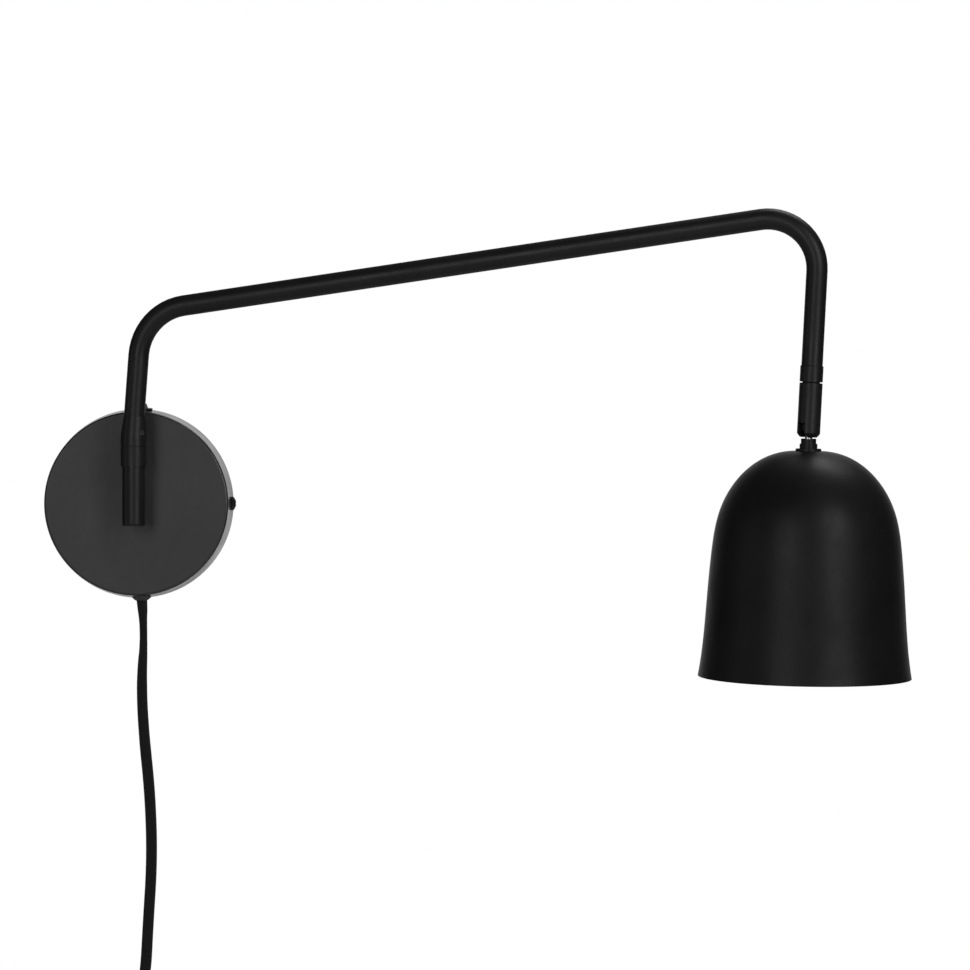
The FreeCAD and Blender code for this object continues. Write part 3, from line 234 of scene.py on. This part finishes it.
def new_material(name, roughness, **fixed):
    """A Principled material and its tree. fixed holds the shader's constant inputs."""
    material = bpy.data.materials.new(name)
    material.use_nodes = True
    tree = material.node_tree
    shader = tree.nodes["Principled BSDF"]
    shader.inputs["Roughness"].default_value = roughness
    for key, value in fixed.items():
        shader.inputs[key.replace("_", " ")].default_value = value
    return material, tree, shader


def noise(tree, scale, detail=3.0, stretch=None):
    """Noise in the object's own space, at this many grains to the metre."""
    place = tree.nodes.new("ShaderNodeTexCoord")
    source = place.outputs["Object"]
    if stretch:
        mapping = tree.nodes.new("ShaderNodeMapping")
        mapping.inputs["Scale"].default_value = stretch
        tree.links.new(source, mapping.inputs["Vector"])
        source = mapping.outputs["Vector"]
    texture = tree.nodes.new("ShaderNodeTexNoise")
    texture.inputs["Scale"].default_value = scale
    texture.inputs["Detail"].default_value = detail
    tree.links.new(source, texture.inputs["Vector"])
    return texture.outputs["Fac"]


def spread(tree, value, low, high, start=0.3, end=0.7):
    """The value's middle part, stretched to run from low to high."""
    node = tree.nodes.new("ShaderNodeMapRange")
    node.inputs["From Min"].default_value = start
    node.inputs["From Max"].default_value = end
    node.inputs["To Min"].default_value = low
    node.inputs["To Max"].default_value = high
    tree.links.new(value, node.inputs["Value"])
    return node.outputs["Result"]


def tint(tree, shader, value, dark, light):
    """The shader's colour, from dark to light as the value goes from 0 to 1."""
    node = tree.nodes.new("ShaderNodeMix")
    node.data_type = "RGBA"
    node.inputs[6].default_value = (*dark, 1.0)
    node.inputs[7].default_value = (*light, 1.0)
    tree.links.new(value, node.inputs[0])
    tree.links.new(node.outputs[2], shader.inputs["Base Color"])


def bumps(tree, shader, layers):
    """Relief from (value, height in metres) layers, the coarsest first."""
    normal = None
    for value, height in layers:
        node = tree.nodes.new("ShaderNodeBump")
        node.inputs["Distance"].default_value = height
        tree.links.new(value, node.inputs["Height"])
        if normal:
            tree.links.new(normal, node.inputs["Normal"])
        normal = node.outputs["Normal"]
    tree.links.new(normal, shader.inputs["Normal"])


def combine(tree, operation, first, second):
    """The result of a Math node. Each side is a socket or a number."""
    node = tree.nodes.new("ShaderNodeMath")
    node.operation = operation
    for socket, value in zip(node.inputs, (first, second)):
        if isinstance(value, (int, float)):
            socket.default_value = value
        else:
            tree.links.new(value, socket)
    return node.outputs["Value"]


def worn(tree, amount):
    """Thin wear: 1 where long fine scratches cross patches that hands touch."""
    scratch = noise(tree, 900.0, 2.0, (1.0, 1.0, 0.08))
    fine = spread(tree, scratch, 0.0, 1.0, 0.64, 0.70)
    patch = spread(tree, noise(tree, 45.0), 0.0, amount, 0.5, 0.68)
    return combine(tree, "MULTIPLY", fine, patch)


def vector_step(tree, operation, source, fixed=None, output="Vector"):
    """One Vector Math node on a socket, with a constant on its other side."""
    node = tree.nodes.new("ShaderNodeVectorMath")
    node.operation = operation
    if fixed:
        node.inputs[1].default_value = fixed
    tree.links.new(source, node.inputs[0])
    return node.outputs[output]


def length_of(tree, source):
    return vector_step(tree, "LENGTH", source, output="Value")


def off_axis(tree, inner, outer):
    """0 within inner of the canopy's axis, and 1 beyond outer."""
    place = tree.nodes.new("ShaderNodeTexCoord").outputs["Object"]
    flat = vector_step(tree, "MULTIPLY", place, (1.0, 0.0, 1.0))
    return spread(tree, length_of(tree, flat), 0.0, 1.0, inner, outer)


def powder_coat(name, dark, light, roughness, grain_height, specular, polished_rim=None):
    """Matt powder coat: a fine even grain, slow changes of gloss, a few rubbed marks."""
    material, tree, shader = new_material(name, roughness, Specular_IOR_Level=specular)
    slow = spread(tree, noise(tree, 28.0, 4.0), 0.0, 1.0)
    tint(tree, shader, combine(tree, "ADD", slow, worn(tree, 0.8)), dark, light)
    rough = spread(tree, noise(tree, 60.0), roughness - 0.04, roughness + 0.05)
    marks = combine(tree, "MULTIPLY", worn(tree, 0.6), -0.10)
    total = combine(tree, "ADD", rough, marks)
    if polished_rim:
        smoother = combine(tree, "MULTIPLY", off_axis(tree, *polished_rim), -RIM_POLISH)
        total = combine(tree, "ADD", total, smoother)
    tree.links.new(total, shader.inputs["Roughness"])
    bumps(tree, shader, [(noise(tree, 420.0, 1.0), grain_height * 2.5),
                         (noise(tree, 1700.0, 2.0), grain_height)])
    return material


def metal(name, colour, roughness, drawn=(1.0, 1.0, 1.0)):
    """Bare or plated metal, its marks drawn out along one way."""
    material, tree, shader = new_material(name, roughness, Metallic=1.0)
    lines = noise(tree, 1400.0, 3.0, drawn)
    slow = spread(tree, noise(tree, 180.0), 0.0, 1.0)
    dark = tuple(c * 0.82 for c in colour)
    tint(tree, shader, slow, dark, colour)
    tree.links.new(spread(tree, lines, roughness - 0.07, roughness + 0.09),
                   shader.inputs["Roughness"])
    bumps(tree, shader, [(lines, 0.00002)])
    return material


def plastic(name, dark, light, roughness, grain=1300.0, height=0.00003, **fixed):
    """Moulded plastic or rubber with a fine spark-eroded grain."""
    material, tree, shader = new_material(name, roughness, **fixed)
    tint(tree, shader, spread(tree, noise(tree, 70.0), 0.0, 1.0), dark, light)
    tree.links.new(spread(tree, noise(tree, 260.0), roughness - 0.05, roughness + 0.06),
                   shader.inputs["Roughness"])
    bumps(tree, shader, [(noise(tree, grain, 2.0), height)])
    return material


def woven(name, dark, light, thread, roughness, height):
    """Braid in a surface's own UV metres: two sets of threads that cross aslant."""
    material, tree, shader = new_material(name, roughness, Sheen_Weight=SLEEVE_SHEEN,
                                          Sheen_Roughness=0.4, Specular_IOR_Level=SLEEVE_SPECULAR)
    uv = tree.nodes.new("ShaderNodeUVMap")
    split = tree.nodes.new("ShaderNodeSeparateXYZ")
    tree.links.new(uv.outputs["UV"], split.inputs["Vector"])
    across = combine(tree, "MULTIPLY", split.outputs["X"], 1.0 / thread)
    along = combine(tree, "MULTIPLY", split.outputs["Y"], BRAID_SLANT / thread)
    ridges = []
    for operation in ("ADD", "SUBTRACT"):
        turn = combine(tree, "MULTIPLY",
                          combine(tree, operation, along, across), math.pi)
        wave = combine(tree, "ABSOLUTE", combine(tree, "SINE", turn, 0.0), 0.0)
        ridges.append(combine(tree, "POWER", wave, 0.7))
    over = combine(tree, "MAXIMUM", ridges[0], combine(tree, "MULTIPLY", ridges[1], 0.92))
    gaps = combine(tree, "MULTIPLY", ridges[0], ridges[1])
    relief = combine(tree, "ADD", combine(tree, "MULTIPLY", over, 0.35), gaps)
    fuzz = noise(tree, 2600.0, 3.0)
    # The braid's colour follows its relief: painted shade between the threads, lighter raised
    # crossings, and a random fuzz tone.
    painted_shade_and_fuzz = combine(tree, "ADD", combine(tree, "MULTIPLY", gaps, 0.75),
                             combine(tree, "MULTIPLY", fuzz, 0.35))
    tint(tree, shader, painted_shade_and_fuzz, dark, light)
    bumps(tree, shader, [(relief, height), (fuzz, height * 0.15)])
    return material


def opal(name):
    """Frosted lamp glass, its tone a little uneven at random."""
    material, tree, shader = new_material(name, 0.32, Transmission_Weight=0.35,
                                          Subsurface_Weight=0.2, Coat_Weight=0.3)
    tint(tree, shader, spread(tree, noise(tree, 55.0), 0.0, 1.0),
         (0.86, 0.85, 0.81), (0.93, 0.92, 0.89))
    tree.links.new(spread(tree, noise(tree, 300.0), 0.28, 0.38), shader.inputs["Roughness"])
    bumps(tree, shader, [(noise(tree, 900.0), 0.00001)])
    return material


def stem_finish(name, centre, axis, ball, bare):
    """Black coat all over the ball and neck, and bare turned metal on the thin stem."""
    material, tree, shader = new_material(name, 0.4, Specular_IOR_Level=COAT_SPECULAR)
    place = tree.nodes.new("ShaderNodeTexCoord").outputs["Object"]
    reach = vector_step(tree, "SUBTRACT", place, centre)
    across = vector_step(tree, "CROSS_PRODUCT", reach, axis)
    below = spread(tree, length_of(tree, reach), 0.0, 1.0, ball, ball * MASK_EDGE)
    thin = spread(tree, length_of(tree, across), 1.0, 0.0, bare, bare * MASK_EDGE)
    shown = combine(tree, "MULTIPLY", below, thin)
    tint(tree, shader, shown, STEM_BLACK, STEM_METAL)
    tree.links.new(shown, shader.inputs["Metallic"])
    grain = noise(tree, 1500.0)
    tree.links.new(spread(tree, grain, 0.34, 0.46), shader.inputs["Roughness"])
    bumps(tree, shader, [(grain, 0.00001)])
    return material


coat = powder_coat("black_coat", (0.0042, 0.0042, 0.0043), (0.0068, 0.0068, 0.0070), 0.42,
                   0.000018, COAT_SPECULAR)
# The canopy gets the arm's matt black, painted about twice as light: painted light for the
# frontal light falling on its face.
plate_coat_painted_lighter = powder_coat("plate_coat_painted_lighter", (0.0090, 0.0090, 0.0092), (0.0150, 0.0150, 0.0153),
                         0.50, 0.000018, PLATE_SPECULAR, PLATE_RIM)
# The shade gets the same matt black, painted darker: painted shade, a shaded copy of the coat.
shade_coat_painted_darker = powder_coat("shade_coat_painted_darker", (0.0030, 0.0030, 0.0030), (0.0048, 0.0048, 0.0049),
                         0.46, 0.000014, SHADE_SPECULAR)
screw_coat = powder_coat("screw_coat", (0.006, 0.006, 0.0061), (0.010, 0.010, 0.0102), 0.36,
                         0.00001, COAT_SPECULAR)
zinc = metal("zinc_plate", (0.60, 0.60, 0.58), 0.34)
turned_steel = metal("turned_steel", (0.72, 0.72, 0.71), 0.22, (1.0, 1.0, 12.0))
dark_steel = metal("oiled_steel", (0.20, 0.195, 0.19), 0.38)
brass = metal("brass", (0.78, 0.60, 0.31), 0.30)
bronze = metal("bronze", (0.50, 0.34, 0.19), 0.40)
nickel = metal("nickel", (0.68, 0.67, 0.64), 0.24)
moulded = plastic("black_moulding", (0.010, 0.010, 0.0103), (0.016, 0.016, 0.0165), 0.45)
nylon = plastic("nylon", (0.004, 0.004, 0.0041), (0.007, 0.007, 0.0071), 0.55,
                Specular_IOR_Level=COAT_SPECULAR)
ball_finish = stem_finish("stem_finish", BALL_CENTRE, HEAD_AXIS, STEM_BALL, STEM_BARE)
cream = plastic("cream_moulding", (0.74, 0.71, 0.64), (0.82, 0.79, 0.72), 0.42)
rubber = plastic("soft_rubber", (0.008, 0.008, 0.0082), (0.013, 0.013, 0.0133), 0.62, 900.0,
                 0.00004)
sheath = plastic("cable_sheath", (0.03, 0.03, 0.031), (0.05, 0.05, 0.051), 0.48)
covering = plastic("wire_covering", (0.10, 0.14, 0.30), (0.14, 0.19, 0.38), 0.42)
sleeve = woven("textile_sleeve", (0.0018, 0.0018, 0.0019), (0.0085, 0.0085, 0.0088), 0.0009,
               0.85, 0.00022)
strap = woven("strap_weave", (0.004, 0.004, 0.0042), (0.026, 0.026, 0.027), 0.0007, 0.9,
              0.00012)
glass = opal("opal_glass")

FINISHES = {
    plate_coat_painted_lighter: ["canopy"],
    coat: ["neck_sleeve", "wall_post", "post_collar", "arm_ferrule", "arm_tube",
           "end_collar", "housing_cap", "knuckle_housing", "shade_washer", "switch_nut"],
    shade_coat_painted_darker: ["shade"],
    screw_coat: ["canopy_screw"],
    zinc: ["wall_bracket", "canopy_hook", "clamp_screws", "post_nipple", "lock_washer",
           "neck_nut", "core_nut", "terminal_screws"],
    ball_finish: ["ball_stem"],
    turned_steel: ["switch_bushing", "switch_lever", "pivot_spindle",
                   "core_nipple", "pressure_pad"],
    dark_steel: ["grub_screw", "disc_springs", "seat_ring"],
    brass: ["holder_contact"],
    bronze: ["thrust_washer"],
    nickel: ["lamp_cap", "holder_shell", "plug_pins"],
    moulded: ["switch_body", "cord_clamp", "holder_cap", "holder_body", "holder_ring",
              "plug_body"],
    nylon: ["hinge_washer", "swivel_washer"],
    cream: ["terminal_block"],
    rubber: ["cord_grommet", "plug_relief"],
    sheath: ["neck_cable", "arm_cable"],
    covering: ["supply_leads", "lamp_leads", "switch_leads", "head_wires"],
    sleeve: ["cord_tail"],
    strap: ["cord_tie"],
    glass: ["lamp_globe"],
}
for finish, names in FINISHES.items():
    for name in names:
        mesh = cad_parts[name].data
        mesh.materials.clear()
        mesh.materials.append(finish)
cord.data.materials.append(sleeve)

# ---- room ------------------------------------------------------------------------
FLOOR_HEIGHT = -0.80
FLOOR_HALF = 3.0
WORLD_FILL = 0.05
BACKDROP = 0.9              # strength of the white that gloss sees behind the lamp
BACKDROP_CONE = (0.75, 0.98)     # its soft edge, as the direction's share along +Y
LAMPS_AIM = (0.20, -0.08, 0.0)


def make_floor():
    bm = bmesh.new()
    corners = [(-1, -1), (1, -1), (1, 1), (-1, 1)]
    verts = [bm.verts.new((x * FLOOR_HALF, y * FLOOR_HALF, FLOOR_HEIGHT)) for x, y in corners]
    bm.faces.new(verts)
    floor = object_from("floor", bm, smooth=False)
    material, tree, shader = new_material("floor", 0.8, Specular_IOR_Level=0.2)
    tint(tree, shader, spread(tree, noise(tree, 3.0), 0.0, 1.0), (0.80, 0.80, 0.80),
         (0.83, 0.83, 0.83))
    floor.data.materials.append(material)


def white_background(tree, strength):
    node = tree.nodes.new("ShaderNodeBackground")
    node.inputs["Color"].default_value = (1.0, 1.0, 1.0, 1.0)
    node.inputs["Strength"].default_value = strength
    return node


def make_world(fill, backdrop):
    """Soft fill light, and a white background for the camera and for reflections."""
    world = bpy.data.worlds.new("world")
    bpy.context.scene.world = world
    world.use_nodes = True
    tree = world.node_tree
    tree.nodes.clear()
    path = tree.nodes.new("ShaderNodeLightPath")
    soft = white_background(tree, fill)
    white = white_background(tree, 1.0)
    place = tree.nodes.new("ShaderNodeTexCoord")
    split = tree.nodes.new("ShaderNodeSeparateXYZ")
    tree.links.new(place.outputs["Generated"], split.inputs["Vector"])
    behind = spread(tree, split.outputs["Y"], 0.0, backdrop, *BACKDROP_CONE)
    seen = combine(tree, "MULTIPLY", path.outputs["Is Glossy Ray"], behind)
    seen = combine(tree, "MAXIMUM", seen, path.outputs["Is Camera Ray"])
    seen = combine(tree, "MAXIMUM", seen, path.outputs["Is Transmission Ray"])
    mix = tree.nodes.new("ShaderNodeMixShader")
    tree.links.new(seen, mix.inputs["Fac"])
    tree.links.new(soft.outputs["Background"], mix.inputs[1])
    tree.links.new(white.outputs["Background"], mix.inputs[2])
    out = tree.nodes.new("ShaderNodeOutputWorld")
    tree.links.new(mix.outputs["Shader"], out.inputs["Surface"])


def area_light(name, place, aim, size, power):
    data = bpy.data.lights.new(name, "AREA")
    data.shape = "RECTANGLE"
    data.size, data.size_y = size
    data.energy = power
    light = bpy.data.objects.new(name, data)
    light.location = place
    light.rotation_euler = (Vector(aim) - Vector(place)).to_track_quat("-Z", "Y").to_euler()
    bpy.context.scene.collection.objects.link(light)


make_floor()
make_world(WORLD_FILL, BACKDROP)
area_light("key_right", (1.62, -2.1, 0.70), LAMPS_AIM, (0.9, 1.5), 46.0)
area_light("key_left", (-0.75, -2.5, 0.45), LAMPS_AIM, (0.8, 1.4), 27.0)
area_light("side_left", (-2.1, -0.55, 0.10), LAMPS_AIM, (0.5, 1.6), 4.0)
area_light("top_back", (0.80, 0.60, 1.70), LAMPS_AIM, (1.0, 0.8), 18.0)

bpy.context.scene.view_settings.view_transform = "Standard"
